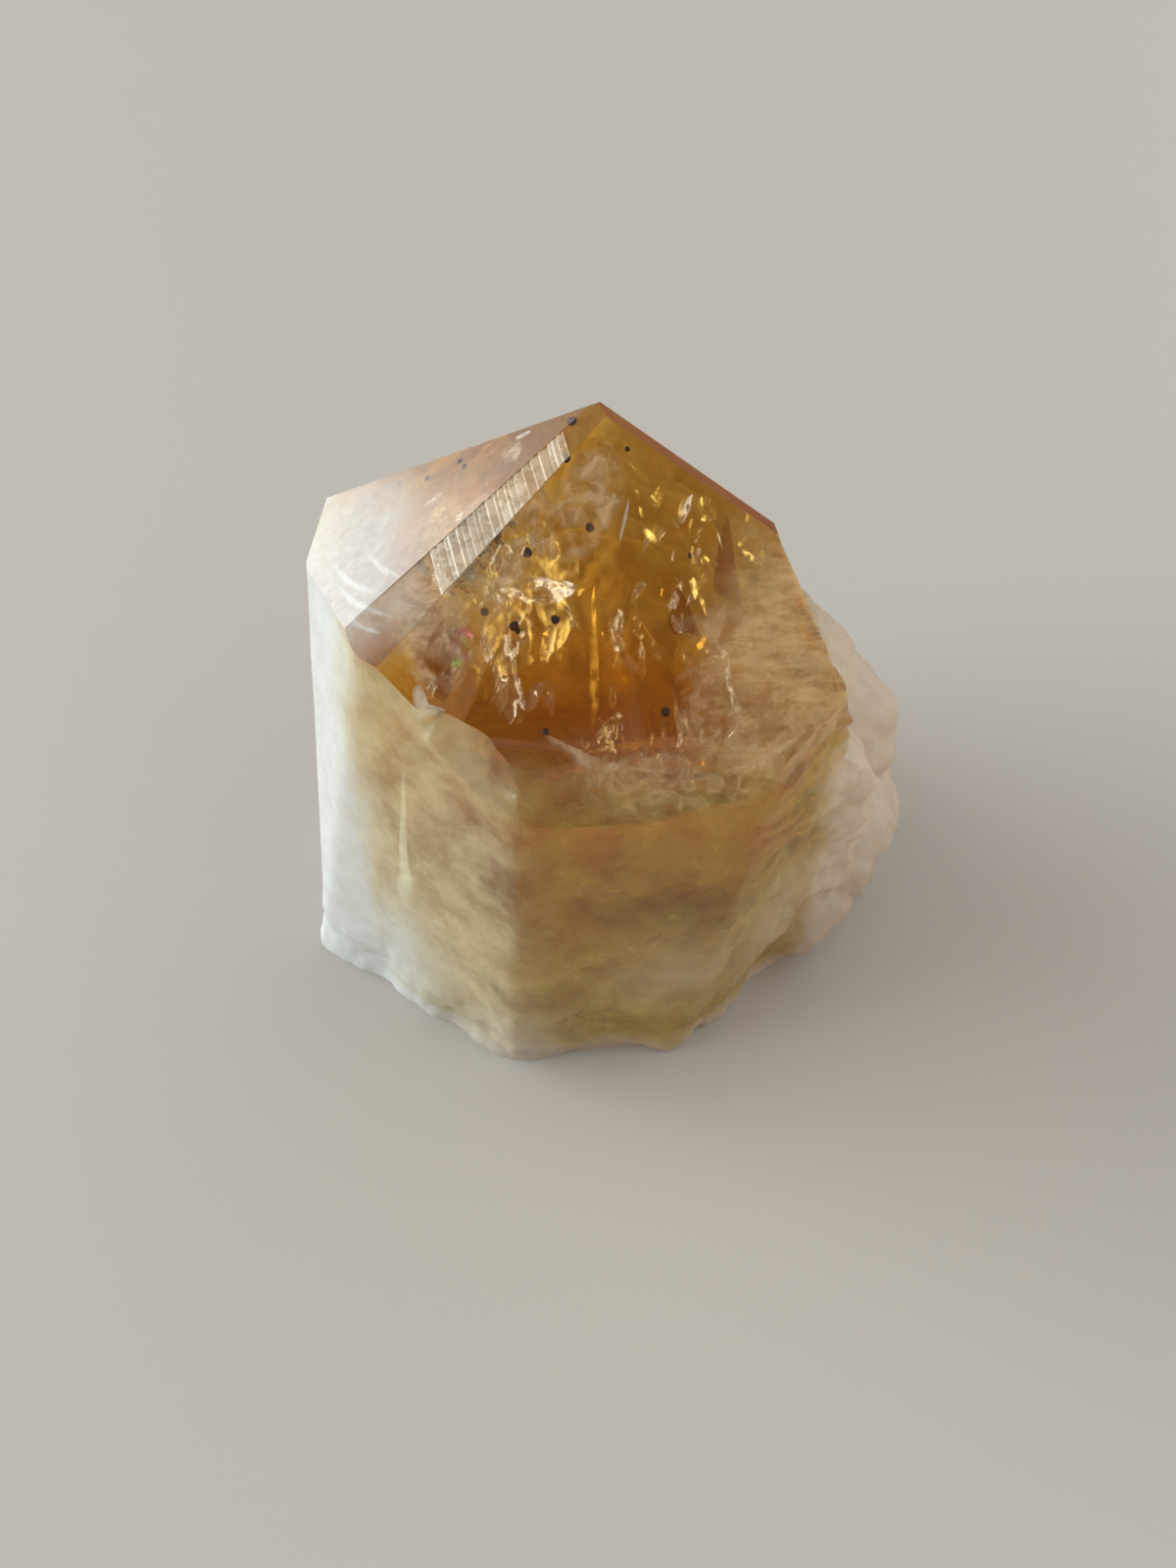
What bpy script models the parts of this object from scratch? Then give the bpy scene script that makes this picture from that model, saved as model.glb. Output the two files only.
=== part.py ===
"""A citrine crystal point, grown on white quartz and cut off flat underneath.

The crystal, the milky quartz round its foot and the lumps on its right side grew as one
piece, so they are one closed solid. It stands on the cut, at z = 0, with +Z up and its
broad amber face turned towards -Y. Sizes in the tables are in millimetres.
"""

import math

import bmesh
import bpy
from mathutils import Vector, noise

MM = 0.001

# The piece is measured outwards from its core, a point well inside the crystal.
CORE = Vector((1.0, 0.0, 27.0))
GRID = 28                    # cuts along each edge of the cube that the surface starts from
WORN = 0.28                  # softness of the edges between the sides
UNTRIMMED = 8.0              # how far the piece runs past its tip and its foot before the cuts

# Flat tip faces: azimuth of the outward normal, its slope from straight up, and a point
# that the face passes through. They are cut one after another.
APEX = (0.9, -3.4, 61.1)
HEIGHT = APEX[2]
TIP_FACES = {
    "front": (270, 47, APEX),
    "left": (189.4, 32.2, APEX),
    "back left": (118, 38.5, (0.9, -3.1, HEIGHT)),
    "back right": (42, 48.6, (0.9, -3.1, HEIGHT)),
    "left back": (176, 70, (-22.6, 0.0, 47.2)),
    "ladder bevel": (237, 34, (0.9, -3.4, HEIGHT - 0.45)),
    "rim bevel": (338, 24, (0.9, -3.4, HEIGHT - 0.35)),
}

# Sides, in the same way. The first three are flat prism faces, and the rest are rough.
LEFT_CORNER = (-17.2, -15.2, 48.7)
SIDES = {
    "left strip": (205, 80.5, LEFT_CORNER),
    "front left": (235.7, 87.6, LEFT_CORNER),
    "front right": (276, 90, (-5.0, -24.0, 39.0)),
    "right front": (311, 94, (14.2, -22.2, 41.0)),
    "right": (2, 84, (25.3, 0.0, 20.0)),
    "right tip": (12, 67.5, (16.3, -13.0, 50.7)),
    "back right": (58, 84, (12.4, 21.3, 20.0)),
    "back": (104, 85, (0.0, 25.0, 20.0)),
    "back left": (146, 83, (-16.2, 19.2, 20.0)),
    "left back": (176, 84, (-22.9, 0.0, 47.0)),
    "left undercut": (216, 126, (-19.0, -22.0, 0.0)),
    "back undercut": (80, 140, (0.0, 20.5, 0.0)),
}

# Lumps of white quartz grown on the right side: centre and radius.
LUMPS = (
    ((22.3, -1.0, 10.0), 10.3),
    ((22.0, 4.5, 18.5), 9.3),
    ((18.0, 5.5, 25.5), 8.3),
    ((14.5, 4.5, 30.5), 6.5),
    ((20.0, -7.0, 6.0), 8.0),
    ((14.0, 15.0, 9.0), 11.0),
)

# Shell-shaped chips knocked out of the edges: centre of the hollow and its radius.
CHIPS = (
    ((-12.8, -32.0, 47.0), 13.7),
    ((6.5, -66.0, 63.3), 50.3),
)


def normal_of(azimuth, slope):
    """Outward normal of a face, from its azimuth and its slope from straight up."""
    around, tilt = math.radians(azimuth), math.radians(slope)
    flat = math.sin(tilt)
    return Vector((math.cos(around) * flat, math.sin(around) * flat, math.cos(tilt)))


def soft_least(values, softness):
    """The least of the values, eased where two of them are nearly equal."""
    least = min(values)
    total = sum(math.exp((least - value) / softness) for value in values)
    return least - softness * math.log(total)


def reach_of_sides(direction):
    """How far the planes of the sides lie from the core in a direction."""
    reaches = []
    for azimuth, slope, point in SIDES.values():
        normal = normal_of(azimuth, slope)
        facing = normal.dot(direction)
        if facing > 0.02:
            reaches.append(normal.dot(Vector(point) - CORE) / facing)
    end = HEIGHT - CORE.z if direction.z > 0 else CORE.z
    reaches.append((end + UNTRIMMED) / max(abs(direction.z), 0.02))
    return soft_least(reaches, WORN)


def reach_of_ball(direction, centre, radius, far):
    """Where a ray from the core meets a ball: its far side, its near side or None."""
    offset = Vector(centre) - CORE
    along = offset.dot(direction)
    inside = radius * radius - offset.length_squared + along * along
    if inside <= 0 or along <= 0:
        return None
    half = math.sqrt(inside)
    return along + half if far else along - half


def ramp(value, low, high):
    """0 below the low value, 1 above the high one, and even in between."""
    return min(max((value - low) / (high - low), 0.0), 1.0)


def relief(place):
    """Lumps, ledges and pits of the rough quartz, in millimetres outwards."""
    right = ramp(place.x, 13, 20)
    low = ramp(-place.z, -9, -1)
    back = ramp(place.y, 3, 12)
    rough = max(right, low, back)
    swell = noise.fractal(place * 0.11, 1.0, 2.0, 2) * (0.08 + 1.3 * rough)
    knobs = (0.4 - noise.voronoi(place * 0.15)[0][0]) * 2.2 * rough
    shelf = place.z * 0.38 + place.x * 0.05
    ledge = noise.noise(Vector((3.1, 7.7, shelf))) * 0.9 * rough
    skirt = 1.3 * low * ramp(-place.x, 6, 13)
    return swell + knobs + ledge + skirt


def rough_reach(direction):
    """How far the rough surface lies from the core in a direction."""
    reach = reach_of_sides(direction)
    for centre, radius in LUMPS:
        far = reach_of_ball(direction, centre, radius, True)
        if far is not None and far > reach:
            reach = far
    reach += relief(CORE + direction * reach)
    for centre, radius in CHIPS:
        near = reach_of_ball(direction, centre, radius, False)
        if near is not None and near < reach:
            reach = near
    return reach


def cut_flat(solid, point, normal):
    """Cut the solid with a plane, throw away what is outside it and close the cut."""
    everything = solid.verts[:] + solid.edges[:] + solid.faces[:]
    bmesh.ops.bisect_plane(solid, geom=everything, dist=1e-7, plane_co=point,
                           plane_no=normal, clear_outer=True)
    rim = [edge for edge in solid.edges if edge.is_boundary]
    bmesh.ops.holes_fill(solid, edges=rim, sides=0)


def rough_solid():
    """The whole lump before the flat faces are cut: a cube's grid drawn out to its reach."""
    solid = bmesh.new()
    bmesh.ops.create_cube(solid, size=2.0)
    bmesh.ops.subdivide_edges(solid, edges=solid.edges[:], cuts=GRID, use_grid_fill=True)
    for corner in solid.verts:
        direction = Vector([math.tan(side * math.pi / 4) for side in corner.co]).normalized()
        corner.co = (CORE + direction * rough_reach(direction)) * MM
    return solid


def citrine_material():
    """Clear amber crystal with a glassy surface."""
    material = bpy.data.materials.new("citrine")
    material.use_nodes = True
    shader = material.node_tree.nodes["Principled BSDF"]
    shader.inputs["Base Color"].default_value = (0.62, 0.36, 0.10, 1.0)
    shader.inputs["Metallic"].default_value = 0.0
    shader.inputs["Roughness"].default_value = 0.12
    return material


def build():
    for item in list(bpy.data.objects):
        bpy.data.objects.remove(item)
    solid = rough_solid()
    for azimuth, slope, point in TIP_FACES.values():
        cut_flat(solid, Vector(point) * MM, normal_of(azimuth, slope))
    cut_flat(solid, Vector((0, 0, 0)), Vector((0, 0, -1)))
    bmesh.ops.triangulate(solid, faces=solid.faces[:])
    mesh = bpy.data.meshes.new("citrine_point")
    solid.to_mesh(mesh)
    solid.free()
    mesh.materials.append(citrine_material())
    crystal = bpy.data.objects.new("citrine_point", mesh)
    bpy.context.scene.collection.objects.link(crystal)


build()
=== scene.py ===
"""A citrine crystal point on milky quartz: its fine surface, what is inside it and a stage.

It is laid out as an add-on and run as a script. Sizes in the tables are in millimetres,
like those of the solid, and every piece is made in metres.
"""

import math
import random

import bmesh
import bpy
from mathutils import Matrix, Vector, noise
from mathutils.bvhtree import BVHTree


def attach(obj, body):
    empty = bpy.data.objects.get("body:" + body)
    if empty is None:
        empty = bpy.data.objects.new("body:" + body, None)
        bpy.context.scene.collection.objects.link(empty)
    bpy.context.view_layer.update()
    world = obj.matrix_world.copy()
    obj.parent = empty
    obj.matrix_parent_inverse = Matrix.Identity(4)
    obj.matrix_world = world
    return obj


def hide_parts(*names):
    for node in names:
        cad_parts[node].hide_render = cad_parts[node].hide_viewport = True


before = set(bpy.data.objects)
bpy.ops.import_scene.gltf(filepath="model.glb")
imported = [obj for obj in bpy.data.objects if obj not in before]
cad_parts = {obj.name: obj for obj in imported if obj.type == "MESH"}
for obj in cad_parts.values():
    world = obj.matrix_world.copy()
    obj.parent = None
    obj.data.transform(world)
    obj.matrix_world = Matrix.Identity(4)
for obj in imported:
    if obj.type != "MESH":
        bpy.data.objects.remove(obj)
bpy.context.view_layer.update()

bl_info = {
    "name": "Citrine crystal point",
    "version": (1, 0, 0),
    "blender": (4, 5, 0),
    "location": "3D View > Sidebar > Citrine",
    "description": "Dresses a citrine crystal point and sets its stage",
    "category": "Object",
}

MM = 0.001
NODE = "citrine_point"

# The piece is measured outwards from its core, a point well inside the crystal.
CORE = Vector((1.0, 0.0, 27.0))
WORN = 0.28                  # softness of the edges between the sides
UNTRIMMED = 8.0              # how far the piece runs past its tip and its foot before the cuts
GRAZING = 0.02               # least cosine between a ray and a plane that it is taken to meet
WELD = 1e-7                  # corners nearer than this to a cut lie on it, in metres
SHARP_EDGE = 32              # edges of the crystal that bend more than this are sharp

# Flat tip faces: azimuth of the outward normal, its slope from straight up, and a point
# that the face passes through. They are cut one after another.
APEX = (0.9, -3.4, 61.1)
HEIGHT = APEX[2]
TIP_FACES = {
    "front": (270, 47, APEX),
    "left": (189.4, 32.2, APEX),
    "back left": (118, 38.5, (0.9, -3.1, HEIGHT)),
    "back right": (42, 48.6, (0.9, -3.1, HEIGHT)),
    "left back": (176, 70, (-22.6, 0.0, 47.2)),
    "ladder bevel": (237, 34, (0.9, -3.4, HEIGHT - 0.45)),
    "rim bevel": (338, 24, (0.9, -3.4, HEIGHT - 0.35)),
}

# Sides, in the same way. The first three are flat prism faces, and the rest are rough.
LEFT_CORNER = (-17.2, -15.2, 48.7)
SIDES = {
    "left strip": (205, 80.5, LEFT_CORNER),
    "front left": (235.7, 87.6, LEFT_CORNER),
    "front right": (276, 90, (-5.0, -24.0, 39.0)),
    "right front": (311, 94, (14.2, -22.2, 41.0)),
    "right": (2, 84, (25.3, 0.0, 20.0)),
    "right tip": (12, 67.5, (16.3, -13.0, 50.7)),
    "back right": (58, 84, (12.4, 21.3, 20.0)),
    "back": (104, 85, (0.0, 25.0, 20.0)),
    "back left": (146, 83, (-16.2, 19.2, 20.0)),
    "left back": (176, 84, (-22.9, 0.0, 47.0)),
    "left undercut": (216, 126, (-19.0, -22.0, 0.0)),
    "back undercut": (80, 140, (0.0, 20.5, 0.0)),
}

# Lumps of white quartz grown on the right side: centre and radius.
LUMPS = (
    ((22.3, -1.0, 10.0), 10.3),
    ((22.0, 4.5, 18.5), 9.3),
    ((18.0, 5.5, 25.5), 8.3),
    ((14.5, 4.5, 30.5), 6.5),
    ((20.0, -7.0, 6.0), 8.0),
    ((14.0, 15.0, 9.0), 11.0),
)

# Shell-shaped chips knocked out of the edges: centre of the hollow and its radius.
CHIPS = (
    ((-12.8, -32.0, 47.0), 13.7),
    ((6.5, -66.0, 63.3), 50.3),
)
CHIP_RIPPLE = 0.05           # height of the ripples in a chip
CHIP_WAVES = 4.0             # how fast they follow one another, in radians per millimetre

# Where things inside the crystal are seen: columns and rows of a picture taken from the
# camera's place, 1200 wide and 1600 high, and how deep they lie under the surface there.
PICTURE = (1200, 1600)
LENS, SENSOR = 27.0, 36.0    # of the camera, the sensor across the picture's longer side
FOCAL = LENS / SENSOR * PICTURE[1]
NEAREST = 0.001              # nearest distance that the camera shows, in metres
PIXELS_PER_MM = 11.0         # size of the crystal in that picture
QUARTZ_INDEX = 1.544

# The ladder of rungs on the bevel beside the front face.
RUNG_LEAN = -0.45            # how far the rungs lean along the bevel
RUNG_HAZE = (0.55, 1.0)      # least and most haze on a rung
RUNG_START = 0.34            # how far up the bevel the rungs begin, as a share of its length
RUNG_STOP = 0.14             # how far below its top they end
RUNG_MARGIN = 0.05           # width of the bevel's plain edge round the rungs
RUNG_WIDTH = 0.14            # from the lowest line of a rung to the level beyond it
RUNG_DROPS = (0.3, 1.0)      # least and most drop, as a share of the rung depth
RUNG_PITCHES = (0.55, 1.45)  # least and most distance, as a share of the ladder pitch
RUNG_SNAP = 0.01             # corners nearer than this to a rung's line are moved with it

# Sheets inside the crystal: cracks, veils and flakes.
GAP = 0.02                   # width of an open crack
SHEET_RINGS, SHEET_SPOKES = 9, 30
EDGE_RINGS = 3               # how many of the rings fade out towards the edge
SHEET_SKIN = 0.15            # least depth of a sheet under the surface
SHARP_SHEET = 60             # folds of a sheet that bend more than this are sharp
SPLINTER_CORNERS = 6
SPLINTER_LEAN = (0.1, 0.45)  # middle and spread of its turn from upright, in radians
SPLINTER_WIDTHS = (0.1, 0.42)
SPLINTER_REACHES = (0.5, 1.3)
GLINT_RIPPLE = 0.08          # ripple of a small crack, as a share of its size
AROUND_SHARE = 1.6           # how much more a small crack varies in azimuth than in slope

# The window: azimuth and elevation of its middle, and where each of its edges fades out and
# is full, as tangents of the angle from the middle. Its right end is dimmer than the rest.
WINDOW = (156, 17)
WINDOW_RIGHT = (0.60, 0.24)
WINDOW_DIMMER = (0.36, -0.1)
WINDOW_LEFT = (-1.3, -0.7)
WINDOW_TOP = (0.36, 0.22)
WINDOW_SILL = (-0.34, -0.2)

# The darker part of the room behind the camera: azimuth and elevation, and the cosines of
# the angles where it fades out and is full.
SHADE = (270, 52)
SHADE_EDGES = (0.80, 0.93)

# A wide weak glow from a pale wall at the right, in the same way.
BOUNCE = (5, 32)
BOUNCE_EDGES = (0.45, 0.95)

FLOOR_REACH = 2.0            # from the middle of the floor to each of its edges, in metres
FLOOR_DROP = 0.00005         # how far it lies below the foot, in metres

# Dark specks: column and row in that picture, depth under the surface and radius.
SPECK_SHARE = 0.7            # how much of that radius a speck has
SPECK_LUMPS = 0.22           # how lumpy a speck is, as a share of its radius
SPECKS = (
    (583, 429, 0.5, 0.50), (574, 469, 0.6, 0.45), (603, 539, 2.0, 0.50), (539, 564, 1.2, 0.52),
    (495, 624, 1.5, 0.48), (525, 639, 2.2, 0.50), (529, 644, 2.0, 0.35), (567, 632, 1.0, 0.50),
    (556, 746, 2.5, 0.42), (679, 726, 1.5, 0.50), (705, 567, 3.0, 0.30), (641, 459, 1.2, 0.28),
    (474, 476, 0.3, 0.40), (469, 471, 0.3, 0.40), (436, 488, 0.3, 0.36), (407, 493, 0.3, 0.32),
    (398, 587, 0.3, 0.30), (330, 583, 0.3, 0.28), (405, 710, 0.3, 0.24), (448, 729, 0.3, 0.26),
)

# Open cracks seen through the clear faces: their outlines in that picture, how deep the middle
# lies, the azimuth and slope of the crack, and how far it ripples.
GAPS = {
    "pink patch": (
        ((468, 528), (484, 518), (494, 528), (488, 545), (474, 546)), 0.9, 213, 34, 0.1),
    "pink patch beside": (
        ((492, 540), (506, 532), (512, 545), (500, 558), (490, 556)), 0.8, 237, 36, 0.12),
    "pale band": (
        ((470, 592), (510, 588), (562, 590), (590, 600), (560, 618), (515, 612), (480, 608)),
        2.2, 246, 47, 0.3),
    "left spire": (
        ((500, 640), (520, 652), (530, 690), (536, 730), (520, 738), (506, 700)),
        3.5, 246, 45, 0.2),
    "right shard": (
        ((734, 664), (744, 668), (750, 700), (756, 725), (746, 718), (738, 690)),
        1.6, 241, 45, 0.06),
    "shard below the ladder 1": (
        ((492, 556), (502, 548), (484, 590), (476, 592)), 0.7, 246, 47, 0.05),
    "shard below the ladder 2": (
        ((470, 560), (482, 552), (470, 584), (462, 586)), 0.6, 246, 47, 0.05),
    "shard below the ladder 3": (
        ((452, 566), (462, 560), (452, 592), (446, 596)), 0.6, 247, 46, 0.05),
    "shard below the ladder 4": (
        ((508, 548), (518, 540), (506, 572), (500, 574)), 0.8, 246, 47, 0.05),
    "white of the flame": (
        ((686, 628), (698, 626), (700, 642), (690, 644)), 5.5, 243, 47, 0.05),
    "upper shine": (
        ((694, 530), (700, 512), (708, 505), (706, 520), (698, 534)), 2.0, 243, 48, 0.06),
}

# Dark sheets of painted shade on cracks: they paint in the dark reflection of the crystal's
# depths, in the same way.
PAINTED_DARK_SHEETS = {
    "flame": (
        ((691, 599), (702, 615), (708, 630), (714, 648), (700, 645), (686, 646), (682, 625)),
        3.0, 270, 47, 0.05),
    "dark corner": (
        ((743, 528), (750, 570), (755, 616), (740, 610), (728, 600), (733, 560)),
        3.0, 270, 47, 0.06),
    "brown leaf": (
        ((414, 612), (440, 618), (466, 622), (474, 650), (462, 700), (450, 712), (430, 690),
        (420, 650)), 3.4, 270, 47, 0.1),
}

# Cracks that shine like gold leaf, in the same way, and where one of them has rainbow colours.
RAINBOW_PLACE, RAINBOW_RADII = (-10.0, -14.5, 48.0), (4.0, 4.0, 4.0)
LEAVES = {
    "rainbow fracture": (
        ((458, 640), (476, 632), (484, 660), (474, 684), (456, 672)), 1.0, 248, 46, 0.25),
    "golden leaf": (
        ((586, 558), (592, 584), (588, 616), (583, 640), (574, 659), (552, 674), (553, 640),
        (545, 610), (540, 575), (556, 556)), 3.5, 246, 47, 0.1),
    "gold field": (
        ((468, 556), (500, 548), (548, 560), (556, 620), (548, 672), (505, 690), (470, 650)),
        5.0, 246, 47, 0.35),
    "gold foil": (
        ((520, 540), (545, 528), (566, 540), (572, 570), (556, 592), (532, 588), (518, 566)),
        2.0, 246, 48, 0.35),
    "amber streak": (
        ((606, 620), (611, 600), (612, 660), (609, 720), (603, 740), (602, 690)),
        9.0, 210, 35, 0.25),
    "top streak": (
        ((690, 531), (697, 512), (706, 505), (703, 518), (695, 534)), 3.0, 243, 48, 0.12),
}

# Small open cracks: columns, rows, depths and sizes that they are strewn over, how many there
# are, the azimuth and slope that they have, and how far these vary.
GLINTS = {
    "under the ladder": ((420, 530), (500, 590), (0.3, 2.2), (0.6, 2.2), 50, (246, 47), 7),
    "left of the front": ((430, 590), (570, 710), (0.6, 5.0), (0.6, 2.6), 40, (246, 47), 9),
    "top right": ((660, 790), (480, 620), (0.8, 4.0), (0.3, 1.1), 22, (243, 48), 8),
    "right haze": ((690, 840), (640, 790), (0.5, 3.0), (0.3, 1.1), 20, (241, 46), 9),
    "middle": ((590, 720), (600, 780), (2.0, 14.0), (0.6, 2.4), 20, (245, 47), 9),
    "low edge": ((590, 790), (740, 805), (0.6, 3.0), (0.3, 1.3), 18, (245, 47), 10),
}

# Small golden ones, in the same way.
GOLD_GLINTS = {
    "under the ladder": ((440, 560), (515, 600), (0.5, 3.0), (0.5, 1.9), 36, (246, 47), 6),
    "left of the front": ((440, 600), (590, 710), (1.0, 6.0), (0.4, 1.7), 26, (246, 47), 6),
    "top right": ((645, 790), (470, 620), (1.0, 6.0), (0.4, 1.7), 34, (243, 48), 6),
    "right haze": ((690, 830), (640, 790), (0.8, 3.0), (0.2, 0.7), 14, (241, 45), 6),
    "middle": ((595, 720), (600, 780), (3.0, 12.0), (0.25, 0.9), 16, (210, 36), 8),
    "low edge": ((590, 790), (740, 805), (0.6, 3.0), (0.2, 0.8), 12, (245, 47), 6),
}

# Healed cracks that look like pale haze, in the same way as the open ones.
VEILS = {
    "oval on the left face": (
        ((506, 478), (514, 458), (528, 449), (533, 458), (524, 474), (512, 484)),
        0.4, 190, 32, 0.05),
    "band beside the leaf": (
        ((640, 490), (628, 532), (606, 562), (580, 575), (540, 560), (560, 520), (585, 470),
        (620, 450)), 1.2, 250, 44, 0.15),
    "right, upper": (
        ((690, 640), (740, 615), (800, 610), (840, 660), (800, 690), (735, 672)),
        1.2, 285, 46, 0.3),
    "right, lower": (
        ((690, 690), (770, 670), (842, 700), (835, 760), (760, 790), (700, 760)),
        2.2, 280, 50, 0.35),
    "low line": (
        ((552, 750), (584, 773), (620, 781), (657, 783), (703, 791), (657, 788), (620, 787),
        (584, 779)), 0.5, 271, 47, 0.02),
    "second line": (
        ((690, 801), (740, 788), (790, 770), (826, 748), (790, 776), (740, 794)),
        0.4, 272, 47, 0.02),
    "round chip on the left face": (
        ((414, 588), (424, 583), (432, 594), (430, 606), (420, 610), (412, 600)),
        0.3, 190, 32, 0.03),
    "low arc": (
        ((590, 776), (650, 768), (720, 762), (790, 748), (812, 770), (806, 800), (720, 832),
        (640, 838), (590, 815)), 0.8, 272, 50, 0.2),
    "left, upper": (
        ((440, 520), (500, 500), (560, 500), (560, 560), (500, 600), (440, 590)),
        1.6, 225, 38, 0.3),
    "left, lower": (
        ((400, 600), (450, 600), (480, 640), (470, 700), (430, 700), (400, 660)),
        1.4, 240, 50, 0.3),
}

# Fresh white flakes close under the surface, in the same way.
FLAKES = {
    "frost streak 1": (
        ((338, 574), (352, 588), (372, 600), (390, 607), (368, 603), (350, 594)),
        0.25, 190, 32, 0.02),
    "frost streak 2": (
        ((342, 596), (360, 612), (380, 622), (398, 626), (376, 624), (356, 616)),
        0.25, 190, 32, 0.02),
    "frost streak 3": (
        ((352, 622), (368, 636), (386, 644), (374, 644), (360, 638)), 0.25, 190, 32, 0.02),
    "frost streak 4": (
        ((372, 560), (392, 580), (412, 590), (388, 584)), 0.25, 190, 32, 0.02),
    "edge nick": (
        ((526, 446), (540, 439), (541, 441), (530, 448)), 0.15, 190, 32, 0.02),
    "pale line": (
        ((632, 549), (638, 522), (642, 509), (641, 524), (634, 551)), 0.5, 271, 47, 0.02),
    "white chip": (
        ((421, 706), (430, 700), (440, 722), (455, 725), (428, 733)), 0.25, 236, 70, 0.05),
    "chip below": (
        ((434, 742), (444, 738), (440, 750), (432, 758)), 0.3, 236, 75, 0.05),
    "white streak": (
        ((410, 790), (413, 790), (415, 860), (420, 905), (412, 916), (407, 860)),
        0.3, 236, 86, 0.05),
    "streak foot": (
        ((404, 900), (412, 890), (422, 898), (418, 912), (408, 914)), 0.3, 236, 86, 0.05),
}

# Milky patches on the sides: centre, radii and strength.
MILK_PATCHES = (
    ((-19.0, -17.0, 8.0), (12.0, 11.0, 20.0), 0.95),
    ((-8.0, -23.0, 2.0), (16.0, 9.0, 11.0), 0.70),
    ((9.0, -23.0, 14.0), (13.0, 8.0, 13.0), 0.62),
    ((19.0, -17.0, 14.0), (11.0, 11.0, 19.0), 0.75),
    ((22.0, -13.0, 33.0), (8.0, 9.0, 15.0), 0.85),
)

# Streaky haze close under the tip faces, in the same way, and the frost on the left one.
HAZE_PATCHES = (
    ((17.0, -15.0, 49.0), (10.0, 11.0, 13.0), 0.60),
    ((8.0, -24.0, 37.0), (15.0, 4.5, 3.5), 0.34),
    ((-13.0, -9.0, 51.0), (10.0, 9.0, 8.0), 0.45),
)
FROST_PLACE, FROST_RADII = (-21.0, -6.0, 49.0), (13.0, 13.0, 11.0)

# Iron stain low at the back, in the same way.
STAIN_PLACE, STAIN_RADII, STAIN_STRENGTH = (3.0, 21.0, 3.0), (17.0, 11.0, 13.0), 0.8

LOBE_CORE = 0.35             # how far from its middle a patch is still full

# Clouds of milk: how deep under the sides, how much deeper under the foot, and where their
# upper rim fades out, at the left and at the right.
CLOUDS = (
    (0.9, 5.0, 17.0, 4.0),
    (3.2, 9.0, 24.0, 9.0),
)
CLOUD_CUTS = 44
CLOUD_BALL = 24.0            # radius of the ball round the core that the billows are read on
CLOUD_LEAST = 0.5            # least depth of a cloud, as a share of its depth under the sides
CLOUD_TOP = 34.0             # height at which the clouds are cut off
CLOUD_LEAN = (-22.0, 14.0)   # from where to where the upper rim goes from left to right


def normal_of(azimuth, slope):
    """Outward normal of a face, from its azimuth and its slope from straight up."""
    around, tilt = math.radians(azimuth), math.radians(slope)
    flat = math.sin(tilt)
    return Vector((math.cos(around) * flat, math.sin(around) * flat, math.cos(tilt)))


def planes_of_sides():
    """Each side's outward normal, and how far its plane lies from the core."""
    planes = []
    for azimuth, slope, point in SIDES.values():
        normal = normal_of(azimuth, slope)
        planes.append((normal, normal.dot(Vector(point) - CORE)))
    return planes


SIDE_PLANES = planes_of_sides()


def soft_least(values, softness):
    """The least of the values, eased where two of them are nearly equal."""
    least = min(values)
    total = sum(math.exp((least - value) / softness) for value in values)
    return least - softness * math.log(total)


def reach_of_sides(direction):
    """How far the planes of the sides lie from the core in a direction."""
    reaches = []
    for normal, distance in SIDE_PLANES:
        facing = normal.dot(direction)
        if facing > GRAZING:
            reaches.append(distance / facing)
    end = HEIGHT - CORE.z if direction.z > 0 else CORE.z
    reaches.append((end + UNTRIMMED) / max(abs(direction.z), GRAZING))
    return soft_least(reaches, WORN)


def reach_of_ball(direction, centre, radius, far):
    """Where a ray from the core meets a ball: its far side, its near side or None."""
    offset = Vector(centre) - CORE
    along = offset.dot(direction)
    inside = radius * radius - offset.length_squared + along * along
    if inside <= 0 or along <= 0:
        return None
    half = math.sqrt(inside)
    return along + half if far else along - half


def ramp(value, low, high):
    """0 below the low value, 1 above the high one, and even in between."""
    return min(max((value - low) / (high - low), 0.0), 1.0)


def relief(place):
    """Lumps, ledges and pits of the rough quartz, in millimetres outwards."""
    right = ramp(place.x, 13, 20)
    low = ramp(-place.z, -9, -1)
    back = ramp(place.y, 3, 12)
    rough = max(right, low, back)
    swell = noise.fractal(place * 0.11, 1.0, 2.0, 2) * (0.08 + 1.3 * rough)
    knobs = (0.4 - noise.voronoi(place * 0.15)[0][0]) * 2.2 * rough
    shelf = place.z * 0.38 + place.x * 0.05
    ledge = noise.noise(Vector((3.1, 7.7, shelf))) * 0.9 * rough
    skirt = 1.3 * low * ramp(-place.x, 6, 13)
    sugar = noise.fractal(place * 0.8, 0.8, 2.2, 3) * (0.02 + 0.20 * rough)
    grit = (0.45 - noise.voronoi(place * 0.5 + Vector((9, 4, 2)))[0][0]) * 0.7 * rough
    return swell + knobs + ledge + skirt + sugar + grit


def rough_reach(direction):
    """How far the rough surface lies from the core in a direction."""
    reach = reach_of_sides(direction)
    for centre, radius in LUMPS:
        far = reach_of_ball(direction, centre, radius, True)
        if far is not None and far > reach:
            reach = far
    reach += relief(CORE + direction * reach)
    for centre, radius in CHIPS:
        near = reach_of_ball(direction, centre, radius, False)
        if near is not None and near < reach:
            place = CORE + direction * near
            reach = near + CHIP_RIPPLE * math.sin((place - Vector(centre)).z * CHIP_WAVES)
    return reach


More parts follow.
